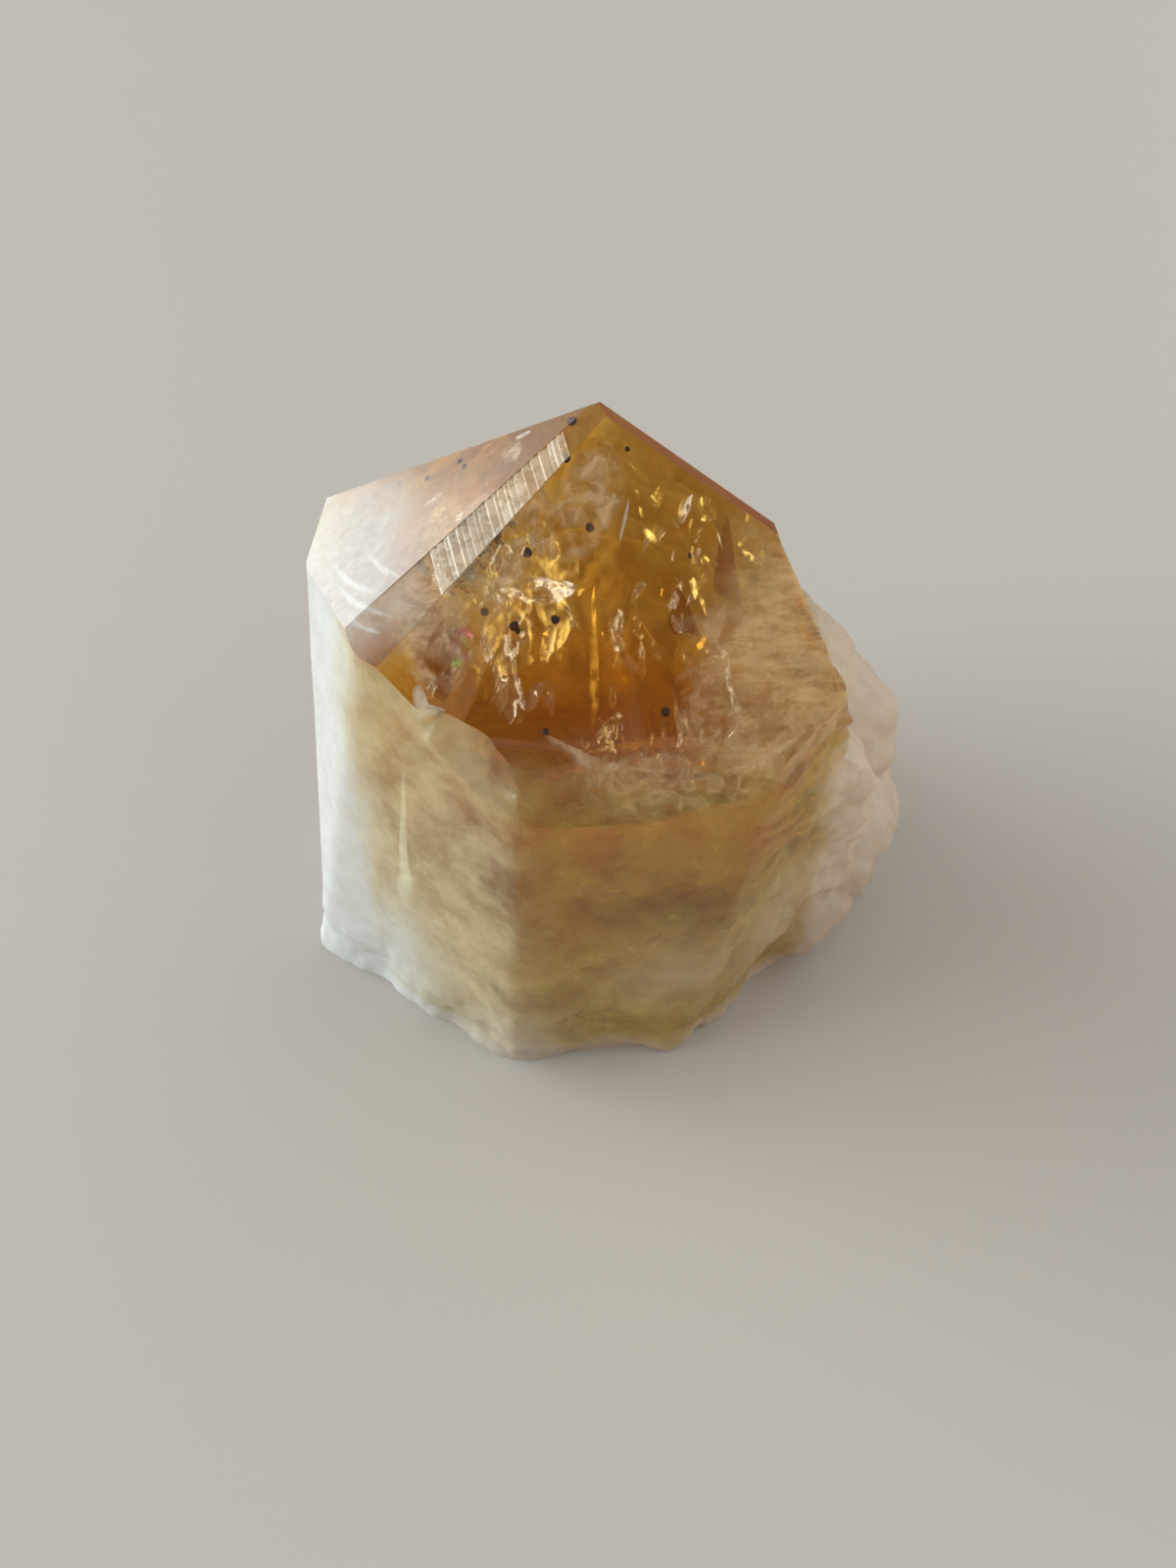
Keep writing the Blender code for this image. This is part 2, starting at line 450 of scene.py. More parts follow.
def cut_flat(solid, point, normal):
    """Cut the solid with a plane, throw away what is outside it, and give the new faces."""
    everything = solid.verts[:] + solid.edges[:] + solid.faces[:]
    bmesh.ops.bisect_plane(solid, geom=everything, dist=WELD, plane_co=point,
                           plane_no=normal, clear_outer=True)
    rim = [edge for edge in solid.edges if edge.is_boundary]
    return bmesh.ops.holes_fill(solid, edges=rim, sides=0)["faces"]


def even_direction(place):
    """The direction from the core for a corner of a cube's grid, spread evenly."""
    return Vector([math.tan(side * math.pi / 4) for side in place]).normalized()


def rough_solid(cuts):
    """The whole lump before the flat faces are cut: a cube's grid drawn out to its reach."""
    solid = bmesh.new()
    bmesh.ops.create_cube(solid, size=2.0)
    for part in (cuts, 1):
        bmesh.ops.subdivide_edges(solid, edges=solid.edges[:], cuts=part, use_grid_fill=True)
    for corner in solid.verts:
        direction = even_direction(corner.co)
        corner.co = (CORE + direction * rough_reach(direction)) * MM
    return solid


class Signal:
    """A number that changes over a surface: one socket, with sums that add Math nodes."""

    def __init__(self, nodes, socket):
        self.nodes = nodes
        self.socket = socket

    def math(self, operation, *values, **settings):
        inputs = dict(enumerate(values))
        return self.nodes.add("ShaderNodeMath", {"operation": operation, **settings}, inputs)

    def __add__(self, other):
        return self.math("ADD", self, other)

    def __sub__(self, other):
        return self.math("SUBTRACT", self, other)

    def __mul__(self, other):
        return self.math("MULTIPLY", self, other)

    def __truediv__(self, other):
        return self.math("DIVIDE", self, other)

    def __radd__(self, other):
        return self.math("ADD", other, self)

    def __rsub__(self, other):
        return self.math("SUBTRACT", other, self)

    def __rmul__(self, other):
        return self.math("MULTIPLY", other, self)

    def clamped(self):
        return self.math("ADD", self, 0.0, use_clamp=True)

    def most(self, other):
        return self.math("MAXIMUM", self, other)


class Nodes:
    """A shader tree, made node by node."""

    def __init__(self, tree):
        self.tree = tree
        self.tree.nodes.clear()

    def add(self, kind, settings=None, inputs=None, output=0):
        """A node of a kind: its settings first, then the values or links of its sockets."""
        node = self.tree.nodes.new(kind)
        for name, value in (settings or {}).items():
            setattr(node, name, value)
        for name, value in (inputs or {}).items():
            if isinstance(value, Signal):
                self.tree.links.new(value.socket, node.inputs[name])
            else:
                node.inputs[name].default_value = value
        return Signal(self, node.outputs[output]) if node.outputs else None

    def vector(self, operation, first, second, output="Vector", third=(0, 0, 0)):
        """Sums with places and directions."""
        return self.add("ShaderNodeVectorMath", {"operation": operation},
                        {0: first, 1: second, 2: third}, output)

    def step(self, value, low, high):
        """0 at the low value and 1 at the high one, with soft shoulders."""
        return self.add("ShaderNodeMapRange", {"interpolation_type": "SMOOTHSTEP"},
                        {"Value": value, "From Min": low, "From Max": high})

    def blend(self, share, first, second):
        """A colour between two colours."""
        return self.add("ShaderNodeMix", {"data_type": "RGBA"},
                        {0: share, 6: first, 7: second}, output=2)

    def mixed(self, share, first, second):
        """A shader between two shaders."""
        return self.add("ShaderNodeMixShader", None, {0: share, 1: first, 2: second})


class Finish(Nodes):
    """One material."""

    def __init__(self, name):
        self.material = bpy.data.materials.new(name)
        self.material.use_nodes = True
        super().__init__(self.material.node_tree)

    def place(self):
        """The place on the piece, in millimetres."""
        own = self.add("ShaderNodeTexCoord", output="Object")
        return self.vector("MULTIPLY", own, (1 / MM, 1 / MM, 1 / MM))

    def along(self, place, axis):
        """One coordinate of a place."""
        return self.add("ShaderNodeSeparateXYZ", None, {0: place}, output=axis)

    def cloud(self, place, scale, detail=3.0, rough=0.55, warp=0.0, output="Fac"):
        """Soft noise from 0 to 1, with a scale per millimetre."""
        return self.add("ShaderNodeTexNoise", {"noise_dimensions": "3D"},
                        {"Vector": place, "Scale": scale, "Detail": detail,
                         "Roughness": rough, "Distortion": warp}, output)

    def warped(self, place, scale, amount):
        """A place moved about by soft noise, by up to half the amount in millimetres."""
        drift = self.cloud(place, scale, 2.0, output="Color")
        centred = self.vector("SUBTRACT", drift, (0.5, 0.5, 0.5))
        shift = self.vector("MULTIPLY", centred, (amount, amount, amount))
        return self.vector("ADD", place, shift)

    def lobe(self, place, centre, radii, core=LOBE_CORE):
        """1 in the middle of an egg shape, fading to 0 at its rim."""
        offset = self.vector("SUBTRACT", place, centre)
        share = self.vector("DIVIDE", offset, radii)
        return self.step(self.vector("LENGTH", share, (0, 0, 0), "Value"), 1.0, core)

    def patches(self, place, table, core=LOBE_CORE, share=None):
        """The most of the patches of a table, and of the share that is already there."""
        for centre, radii, strength in table:
            patch = self.lobe(place, centre, radii, core) * strength
            share = patch if share is None else share.most(patch)
        return share

    def mark(self, name):
        """A number that the mesh carries on its faces."""
        return self.add("ShaderNodeAttribute", {"attribute_name": name}, output="Fac")

    def finish(self, surface, volume=None):
        """Send the shaders to the surface and the volume."""
        links = {"Surface": surface}
        if volume is not None:
            links["Volume"] = volume
        self.add("ShaderNodeOutputMaterial", None, links)
        return self.material


def colour_setting(name, description, default):
    """A colour that a user can change."""
    return bpy.props.FloatVectorProperty(
        name=name, description=description, subtype="COLOR", default=default, min=0, max=1)


class CitrineCrystalSettings(bpy.types.PropertyGroup):
    """Shape of the fine surface and colours of the quartz."""

    cuts: bpy.props.IntProperty(
        name="Surface cuts", description="First cuts along each edge of the starting cube",
        default=64, min=10, max=80)
    ladder_pitch: bpy.props.FloatProperty(
        name="Ladder pitch", description="Distance between the rungs beside the front face",
        default=0.58 * MM, unit="LENGTH", precision=5)
    rung_depth: bpy.props.FloatProperty(
        name="Rung depth", description="How far the rungs of the ladder step down",
        default=0.2 * MM, unit="LENGTH", precision=5)
    amber: colour_setting(
        "Amber", "Colour that light keeps on its way through the crystal", (0.90, 0.68, 0.0))
    depth: bpy.props.FloatProperty(
        name="Depth of colour", description="Length of crystal that gives the amber once",
        default=17.0 * MM, unit="LENGTH", precision=4)
    # Partly painted light: the white quartz is tinted cool at the left, for the bluish window
    # light that falls on that side, and warm at the right, for a warm bounce.
    milk: colour_setting(
        "Milky quartz", "Colour of the white quartz", (0.76, 0.68, 0.57))
    window_cool_milk: colour_setting(
        "Cool milky quartz", "Colour of the white quartz at the left", (0.76, 0.83, 0.85))
    # Painted shade: the milky quartz low on the front gets a darker colour for the shade round
    # the foot.
    foot_shade_milk: colour_setting(
        "Foot", "Colour of the milky quartz low on the front", (0.56, 0.47, 0.36))
    # Painted shade: the back, which faces the window, gets a darker colour than the other milky
    # quartz to temper that light, with darker brownish wisps in it.
    back_shaded_milk: colour_setting(
        "Back", "Colour of the milky quartz at the back", (0.66, 0.62, 0.54))
    back_shade: colour_setting(
        "Back shade", "Colour of the stained wisps at the back", (0.58, 0.47, 0.30))
    stain: colour_setting(
        "Stain", "Colour of the iron-stained quartz low at the back", (0.74, 0.42, 0.10))
    # Partly painted light: the clouded prism faces are paler at the left, which the window
    # lights, and darker at the right, which lies in shade, as well as deeper amber there.
    lit_pale_silk: colour_setting(
        "Pale silk", "Colour of the clouded prism faces at the left", (0.97, 0.96, 0.62))
    shaded_dark_silk: colour_setting(
        "Dark silk", "Colour of the clouded prism faces at the right", (0.72, 0.60, 0.15))
    rung: colour_setting(
        "Rungs", "Colour of the rungs beside the front face", (1.0, 0.90, 0.74))
    # Painted shade: the bevel at the upper right gets the dark orange that light shows on its way
    # through that edge.
    rim: colour_setting(
        "Rim", "Colour of the iron-stained edge at the upper right", (0.36, 0.10, 0.004))
    haze: colour_setting(
        "Haze", "Colour of the haze close under the clear faces", (0.96, 0.72, 0.40))


class CitrineStageSettings(bpy.types.PropertyGroup):
    """Floor, light and camera."""

    floor_colour: colour_setting(
        "Floor", "Colour of the floor", (0.47, 0.45, 0.42))
    window_strength: bpy.props.FloatProperty(
        name="Window", description="Brightness of the soft window at the back left",
        default=9.0)
    fill_strength: bpy.props.FloatProperty(
        name="Fill", description="Strength of the even light from all round",
        default=0.50)
    bounce_strength: bpy.props.FloatProperty(
        name="Wall", description="Strength of the glow from a pale wall at the right",
        default=0.9)
    camera_place: bpy.props.FloatVectorProperty(
        name="Camera", description="Where the camera stands",
        subtype="TRANSLATION", unit="LENGTH", default=(0.0, -0.079, 0.1085))
    camera_pitch: bpy.props.FloatProperty(
        name="Camera pitch", description="How far the camera looks down",
        subtype="ANGLE", default=math.radians(50))


def piece_from(solid, name, material):
    """Turn a bmesh into a piece that rides with the crystal."""
    mesh = bpy.data.meshes.new(name)
    solid.to_mesh(mesh)
    solid.free()
    mesh.materials.append(material)
    piece = bpy.data.objects.new(name, mesh)
    bpy.context.scene.collection.objects.link(piece)
    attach(piece, "root")
    return piece


def citrine_finish(settings):
    """Clear amber quartz at the tip, clouded on the sides and milky round the foot."""
    look = Finish("citrine")
    true_place = look.place()
    place = look.warped(true_place, 0.10, 5.5)
    across = look.along(place, "X")
    inward = look.along(place, "Y")
    height = look.along(place, "Z")
    wisps = look.cloud(place, 0.24, 3.0, 0.58)
    fine = look.cloud(true_place, 0.8, 3.0, 0.62)

    left_face = look.step(across, -4.5, -8.5)
    soft = look.step(height, 38.0, 45.0)
    upper = look.mark("tip") * left_face + soft * (1.0 - left_face)
    white = look.step(height, 4.5, 0.5).most(look.step(across, 18.5, 22.5))
    white = white.most(look.step(inward, 8.0, 20.0)).most(look.step(across, -16.5, -22.0))
    white = look.patches(place, MILK_PATCHES, 0.0, white)
    thin = 1.0 - white
    clouded_side = (white * 0.78 + look.step(wisps, 0.25, 0.75) * (thin * 0.24 + 0.14)
                    + (fine - 0.5) * 0.22 + look.step(across, -5.0, -12.0) * thin * 0.12 + 0.06)
    stretched = look.vector("MULTIPLY", true_place, (0.5, 1.3, 1.3))
    streaks = look.cloud(stretched, 0.7, 4.0, 0.66)
    haze = look.patches(place, HAZE_PATCHES)
    haze = haze * (look.step(streaks, 0.36, 0.64) * 0.6 + look.step(wisps, 0.3, 0.75) * 0.3 + 0.3)
    frost = look.lobe(place, FROST_PLACE, FROST_RADII) * (fine * 0.8 + 0.25)
    rungs = look.mark("pale") * (look.step(fine, 0.40, 0.54) * 0.5 + 0.6)
    milk = (clouded_side * (1.0 - upper)).most(haze).most(frost).most(rungs)
    milk = milk.most(look.mark("rim") * 0.85).clamped()

    # Partly painted light: cool white at the left, where the window light falls, and warmer white
    # at the right.
    rightness = look.step(across, -16.0, 6.0)
    # Painted shade: the milk is darker low on the front, towards the foot, where shade falls.
    foot = (look.step(height, 20.0, 2.0) * look.step(inward, 8.0, -6.0)
            * look.step(across, -21.0, -12.0)) * 0.6
    # Paler silk on the lit left faces and darker silk on the shaded right ones: partly painted
    # light and shade.
    past_edge = look.step(across, -9.0, -2.0)
    back = look.step(inward, 6.0, 18.0)
    # Darker wisps on the back, part of the painted shade there.
    darker_back_wisps = look.step(wisps, 0.35, 0.65)
    stain = look.lobe(place, STAIN_PLACE, STAIN_RADII) * STAIN_STRENGTH
    far_left = look.step(across, -9.0, -17.0)
    on_ladder = look.step(look.mark("pale"), 0.0, 0.2)
    # Painted shade on the bevel at the upper right, for the dark orange seen through that edge.
    painted_rim_tone = look.mark("rim")

    def quartz(blend, tone):
        """The whole surface, blended from its tones: colours, or shaders of one colour."""
        milky = blend(rightness, tone(settings.window_cool_milk), tone(settings.milk))
        milky = blend(foot, milky, tone(settings.foot_shade_milk))
        silk = blend(past_edge, tone(settings.lit_pale_silk), tone(settings.shaded_dark_silk))
        behind = blend(darker_back_wisps, tone(settings.back_shaded_milk), tone(settings.back_shade))
        body = blend(stain, blend(back, blend(white, silk, milky), behind),
                     tone(settings.stain))
        under_tip = blend(far_left, tone(settings.haze), tone(settings.window_cool_milk))
        tip = blend(on_ladder, under_tip, tone(settings.rung))
        return blend(painted_rim_tone, blend(upper, body, tip), tone(settings.rim))

    grain = look.cloud(true_place, 1.6, 2.0, 0.6)
    bump = look.add("ShaderNodeBump", None,
                    {"Strength": 0.25, "Distance": 0.15 * MM,
                     "Height": grain * (1.0 - look.mark("tip"))})
    clear = look.add("ShaderNodeBsdfPrincipled", None, {
        "Base Color": (1.0, 0.98, 0.94, 1.0),
        "Roughness": (1.0 - upper) * 0.15 + 0.015,
        "IOR": QUARTZ_INDEX,
        "Transmission Weight": 1.0,
        "Normal": bump,
    })
    outside = look.add("ShaderNodeBsdfPrincipled", None, {
        "Base Color": quartz(look.blend, lambda colour: (*colour, 1.0)),
        "Roughness": 0.42, "IOR": QUARTZ_INDEX, "Normal": bump})
    through = quartz(look.mixed, lambda colour: look.add(
        "ShaderNodeBsdfTranslucent", None, {"Color": (*colour, 1.0), "Normal": bump}))
    clouded = look.mixed(0.42 - white * 0.10 + back * 0.22, outside, through)
    surface = look.mixed(milk, clear, clouded)
    inside = look.add("ShaderNodeVolumeAbsorption", None, {
        "Color": (*settings.amber, 1.0),
        "Density": 1.0 / settings.depth,
    })
    return look.finish(surface, inside)


def cloud_finish(settings, left_rim, right_rim):
    """Wispy milk that lets through what lies behind it, and fades out at its upper rim."""
    look = Finish("milk cloud")
    place = look.place()
    across = look.along(place, "X")
    height = look.along(place, "Z")
    wisps = look.cloud(place, 0.14, 3.0, 0.55)
    fine = look.cloud(place, 0.7, 2.0, 0.6)
    lean = look.step(across, *CLOUD_LEAN)
    rim = lean * (right_rim - left_rim) + left_rim
    thick = look.step(rim + (wisps - 0.5) * 40.0 - height, -10.0, 16.0)
    share = (thick * (fine * 0.6 + 0.5)).clamped()
    colour = (0.90, 0.86, 0.80, 1.0)
    near = look.add("ShaderNodeBsdfDiffuse", None, {"Color": colour})
    through = look.add("ShaderNodeBsdfTranslucent", None, {"Color": colour})
    body = look.mixed(0.45, near, through)
    gap = look.add("ShaderNodeBsdfTransparent")
    return look.finish(look.mixed(share, gap, body))


def gap_finish():
    """The air in an open crack: light goes from the quartz into it and out again."""
    look = Finish("open crack")
    air = look.add("ShaderNodeBsdfGlass", None, {
        "Color": (1.0, 1.0, 1.0, 1.0), "Roughness": 0.0, "IOR": 1 / QUARTZ_INDEX})
    return look.finish(air)


def leaf_finish():
    """The shine of a crack that mirrors the window, like thin gold leaf."""
    look = Finish("golden crack")
    place = look.place()
    patches = look.cloud(place, 0.9, 3.0, 0.5)
    edge = look.mark("edge")
    share = (look.step(patches, 0.35, 0.65) * 0.16 + 0.06) * (1.0 - edge * 0.3)
    bands = look.cloud(place, 0.9, 0.0, output="Color")
    rainbow = look.vector("MULTIPLY_ADD", bands, (4.0, 4.0, 4.0), third=(-1.5, -1.5, -1.5))
    near = look.lobe(place, RAINBOW_PLACE, RAINBOW_RADII)
    mirror = look.add("ShaderNodeBsdfPrincipled", None, {
        "Base Color": look.blend(near, (1.0, 0.74, 0.24, 1.0), rainbow),
        "Metallic": 1.0, "Roughness": 0.14, "Alpha": share})
    return look.finish(mirror)


def painted_dark_finish():
    """Painted shade: a dull dark amber sheet where a crack would mirror the dark of the crystal.
    """
    look = Finish("painted dark reflection")
    place = look.place()
    patches = look.cloud(place, 0.5, 3.0, 0.5)
    edge = look.mark("edge")
    share = (patches * 0.9 + 0.2).clamped() * (1.0 - edge * edge * edge)
    shade = look.add("ShaderNodeBsdfPrincipled", None, {
        "Base Color": (0.30, 0.075, 0.001, 1.0), "Roughness": 1.0,
        "Specular IOR Level": 0.0, "Alpha": share})
    return look.finish(shade)


def veil_finish():
    """Pale haze on a healed crack."""
    look = Finish("pale veil")
    place = look.place()
    streaks = look.cloud(place, 0.55, 3.0, 0.62, 0.9)
    edge = look.mark("edge")
    share = look.step(streaks, 0.32, 0.72) * (1.0 - edge) * 0.68
    haze = look.add("ShaderNodeBsdfPrincipled", None, {
        "Base Color": (1.0, 0.80, 0.62, 1.0), "Roughness": 0.7, "Alpha": share})
    return look.finish(haze)


def flake_finish():
    """Fresh white bruise close under the surface."""
    look = Finish("white flake")
    place = look.place()
    grain = look.cloud(place, 2.0, 4.0, 0.6)
    edge = look.mark("edge")
    share = (grain * 1.1 + 0.1).clamped() * (1.0 - edge * 0.75)
    chalk = look.add("ShaderNodeBsdfPrincipled", None, {
        "Base Color": (0.95, 0.93, 0.90, 1.0), "Roughness": 0.4, "Alpha": share})
    return look.finish(chalk)


def speck_finish():
    """Dark iron mineral, nearly black with a purple brown cast."""
    look = Finish("speck")
    place = look.place()
    tone = look.cloud(place, 3.0, 2.0)
    colour = look.blend(tone, (0.020, 0.007, 0.012, 1.0), (0.09, 0.035, 0.045, 1.0))
    body = look.add("ShaderNodeBsdfPrincipled", None,
                    {"Base Color": colour, "Roughness": 0.45})
    return look.finish(body)


def refracted(direction, normal):
    """A ray's direction once it has gone into quartz."""
    facing = -normal.dot(direction)
    ratio = 1.0 / QUARTZ_INDEX
    inside = 1.0 - ratio * ratio * (1.0 - facing * facing)
    return (direction * ratio + normal * (ratio * facing - math.sqrt(inside))).normalized()


class Sight:
    """Finds the place inside the crystal that is seen at a column and row of the picture."""

    def __init__(self, context):
        settings = context.scene.citrine_stage
        pitch = settings.camera_pitch
        self.eye = Vector(settings.camera_place)
        self.ahead = Vector((0.0, math.cos(pitch), -math.sin(pitch)))
        self.up = Vector((0.0, math.sin(pitch), math.cos(pitch)))
        crystal = bpy.data.objects["crystal"].data
        corners = [corner.co for corner in crystal.vertices]
        faces = [face.vertices for face in crystal.polygons]
        self.surface = BVHTree.FromPolygons(corners, faces)

    def ray(self, column, row):
        """The direction from the eye through a point of the picture."""
        aside = (column - PICTURE[0] / 2) / FOCAL
        down = (row - PICTURE[1] / 2) / FOCAL
        return (self.ahead + Vector((aside, 0.0, 0.0)) - self.up * down).normalized()

    def look(self, column, row):
        """The surface point and its normal, or None off the crystal."""
        point, normal, _, _ = self.surface.ray_cast(self.eye, self.ray(column, row))
        return None if point is None else (point, normal)

    def inside(self, column, row, depth):
        """The place at a depth in millimetres behind the surface, or None."""
        seen = self.look(column, row)
        if seen is None:
            return None
        point, normal = seen
        place = point + refracted(self.ray(column, row), normal) * depth * MM
        nearest, normal, _, distance = self.surface.find_nearest(place)
        if (place - nearest).dot(normal) > 0 or distance < 0.2 * MM:
            return None
        return place

    def kept_in(self, place, skin):
        """The place itself, or one just under the surface if it lies outside."""
        nearest, normal, _, _ = self.surface.find_nearest(place)
        if (place - nearest).dot(normal) > -skin:
            return nearest - normal * skin
        return place


class Pane:
    """A plane inside the crystal, on which an outline in the picture is laid out."""

    def __init__(self, sight, column, row, depth, azimuth, slope):
        self.sight = sight
        self.point, self.normal = sight.look(column, row)
        ray = refracted(sight.ray(column, row), self.normal)
        self.centre = self.point + ray * depth * MM
        self.facing = normal_of(azimuth, slope)

    def at(self, column, row):
        """The place on the pane that is seen at a point of the picture."""
        ray = self.sight.ray(column, row)
        reach = (self.point - self.sight.eye).dot(self.normal) / ray.dot(self.normal)
        start = self.sight.eye + ray * reach
        inside = refracted(ray, self.normal)
        return start + inside * ((self.centre - start).dot(self.facing)
                                 / inside.dot(self.facing))


def spread_loop(points, count, bend_share):
    """Places spread along a closed curve through the given ones: 0 is angular, 1 is smooth."""
    spread = []
    for number in range(count):
        share = number / count * len(points)
        at = int(share)
        part = share - at
        before, here, after, later = (Vector(points[(at + shift) % len(points)])
                                      for shift in (-1, 0, 1, 2))
        bend = (2 * before - 5 * here + 4 * after - later) * part * part
        turn = (3 * (here - after) + later - before) * part ** 3
        smooth = (2 * here + (after - before) * part + bend + turn) / 2
        spread.append(here.lerp(after, part).lerp(smooth, bend_share))
    return spread


def add_sheet(solid, pane, outline, ripple, thickness, chance, bend_share=1.0):
    """A rippled sheet on a pane, added to a bmesh; with a thickness it is a closed gap."""
    edge = solid.faces.layers.float["edge"]
    rings, spokes = SHEET_RINGS, SHEET_SPOKES
    shift = Vector([chance.uniform(0, 90) for _ in range(3)])
    rim = [pane.at(*point) for point in spread_loop(outline, spokes, bend_share)]
    middle = sum(rim, Vector()) / spokes
    sides = (0.5, -0.5) if thickness else (0.0,)
    layers = [[] for _ in sides]
    for ring in range(rings + 1):
        share = ring / rings
        rows = [[] for _ in sides]
        for corner in rim[:1] if ring == 0 else rim:
            flat = middle + (corner - middle) * share
            place = flat / MM + shift
            wave = noise.noise(place * 0.4) + 0.4 * noise.noise(place * 1.1)
            wave += 0.12 * math.sin((flat - middle).length / MM * 5.0 + shift.x)
            lifted = pane.sight.kept_in(flat + pane.facing * wave * ripple * MM,
                                         SHEET_SKIN * MM)
            swell = thickness * (1 - share ** 3)
            for row, side in zip(rows, sides):
                if ring == rings and side < 0:
                    row.append(rows[0][len(row)])
                else:
                    row.append(solid.verts.new(lifted + pane.facing * swell * side * MM))
        for layer, row in zip(layers, rows):
            layer.append(row)
    for layer, side in zip(layers, sides):
        for ring in range(rings):
            inner, outer = layer[ring], layer[ring + 1]
            for spoke in range(spokes):
                after = (spoke + 1) % spokes
                if ring == 0:
                    corners = [inner[0], outer[spoke], outer[after]]
                else:
                    corners = [inner[spoke], outer[spoke], outer[after], inner[after]]
                if side < 0:
                    corners.reverse()
                fade = (ring - rings + EDGE_RINGS) / EDGE_RINGS
                solid.faces.new(corners)[edge] = max(0.0, fade)


def splinter(column, row, size, chance):
    """A splinter round a point of the picture, mostly upright, with a size in millimetres."""
    turn = math.pi / 2 + chance.gauss(*SPLINTER_LEAN)
    stretch = chance.uniform(*SPLINTER_WIDTHS)
    outline = []
    for number in range(SPLINTER_CORNERS):
        angle = 2 * math.pi * number / SPLINTER_CORNERS
        reach = size * chance.uniform(*SPLINTER_REACHES) * PIXELS_PER_MM
        x, y = math.cos(angle) * reach, math.sin(angle) * reach * stretch
        outline.append((column + x * math.cos(turn) - y * math.sin(turn),
                        row + x * math.sin(turn) + y * math.cos(turn)))
    return outline


def add_outlined(solid, table, sight, thickness, chance):
    """The sheets of a table, each at its outline."""
    for outline, depth, azimuth, slope, ripple in table.values():
        middle = sum((Vector(point) for point in outline), Vector((0, 0))) / len(outline)
        pane = Pane(sight, *middle, depth, azimuth, slope)
        add_sheet(solid, pane, outline, ripple, thickness, chance)


def add_glints(solid, table, sight, thickness, chance):
    """Small sheets strewn over the fields of a table."""
    for columns, rows, depths, sizes, count, facing, vary in table.values():
        for _ in range(count):
            column, row = chance.uniform(*columns), chance.uniform(*rows)
            depth, size = chance.uniform(*depths), chance.uniform(*sizes)
            azimuth = facing[0] + chance.uniform(-vary, vary) * AROUND_SHARE
            slope = facing[1] + chance.uniform(-vary, vary)
            outline = splinter(column, row, size, chance)
            if sight.inside(column, row, depth) is None:
                continue
            pane = Pane(sight, column, row, depth, azimuth, slope)
            add_sheet(solid, pane, outline, GLINT_RIPPLE * size, thickness, chance, 0.0)


def new_sheets():
    """An empty bmesh that can take sheets."""
    solid = bmesh.new()
    solid.faces.layers.float.new("edge")
    return solid


def cut_rungs(solid, faces, settings):
    """Turn the bevel beside the front face into a ladder of small steps."""
    front = normal_of(*TIP_FACES["front"][:2])
    left = normal_of(*TIP_FACES["left"][:2])
    out = normal_of(*TIP_FACES["ladder bevel"][:2])
    along = left.cross(front).normalized()
    if along.z < 0:
        along.negate()
    across = out.cross(along)
    along = (along + across * RUNG_LEAN).normalized()
    bmesh.ops.inset_region(solid, faces=faces, thickness=RUNG_MARGIN * MM,
                           use_even_offset=True)
    chance = random.Random(3)
    places = sorted({round(corner.co.dot(along), 7) for face in faces for corner in face.verts})
    low, high = places[0], places[-1]
    lines = {}
    start = at = low + (high - low) * RUNG_START
    end = high - (high - low) * RUNG_STOP
    while at < end:
        lines[at] = settings.rung_depth * chance.uniform(*RUNG_DROPS)
        lines[at + RUNG_WIDTH * MM] = 0.0
        at += settings.ladder_pitch * chance.uniform(*RUNG_PITCHES)
    region = list(faces)
    for place in lines:
        geometry = {item for face in region for item in (face, *face.edges, *face.verts)}
        cut = bmesh.ops.bisect_plane(solid, geom=list(geometry), dist=WELD,
                                     plane_co=along * place, plane_no=along)
        region = [item for item in cut["geom"] if isinstance(item, bmesh.types.BMFace)]
    pale = solid.faces.layers.float["pale"]
    for face in region:
        if start < face.calc_center_median().dot(along) < end:
            face[pale] = chance.uniform(*RUNG_HAZE)
    for corner in {corner for face in region for corner in face.verts}:
        place = corner.co.dot(along)
        line = min(lines, key=lambda candidate: abs(candidate - place))
        if abs(line - place) < RUNG_SNAP * MM:
            corner.co -= out * lines[line]


class CITRINE_OT_crystal(bpy.types.Operator):
    """Make the crystal's fine surface, in place of the plain solid"""

    bl_idname = "citrine.crystal"
    bl_label = "Crystal"

    def execute(self, context):
        settings = context.scene.citrine_crystal
        solid = rough_solid(settings.cuts)
        for name in ("pale", "tip", "rim"):
            solid.faces.layers.float.new(name)
        flat = solid.faces.layers.string.new("flat")
        tip = solid.faces.layers.float["tip"]
        rim = solid.faces.layers.float["rim"]
        for name, (azimuth, slope, point) in TIP_FACES.items():
            for face in cut_flat(solid, Vector(point) * MM, normal_of(azimuth, slope)):
                face[flat] = name.encode()
                face[tip] = 1.0
                face[rim] = float(name == "rim bevel")
        cut_flat(solid, Vector((0, 0, 0)), Vector((0, 0, -1)))
        for face in solid.faces:
            face.smooth = not face[flat]
        bevel = [face for face in solid.faces if face[flat] == b"ladder bevel"]
        cut_rungs(solid, bevel, settings)
        solid.faces.layers.string.remove(flat)
        bmesh.ops.triangulate(solid, faces=[face for face in solid.faces if len(face.verts) > 4])
        crystal = piece_from(solid, "crystal", citrine_finish(settings))
        crystal.data.set_sharp_from_angle(angle=math.radians(SHARP_EDGE))
        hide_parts(NODE)
        return {"FINISHED"}


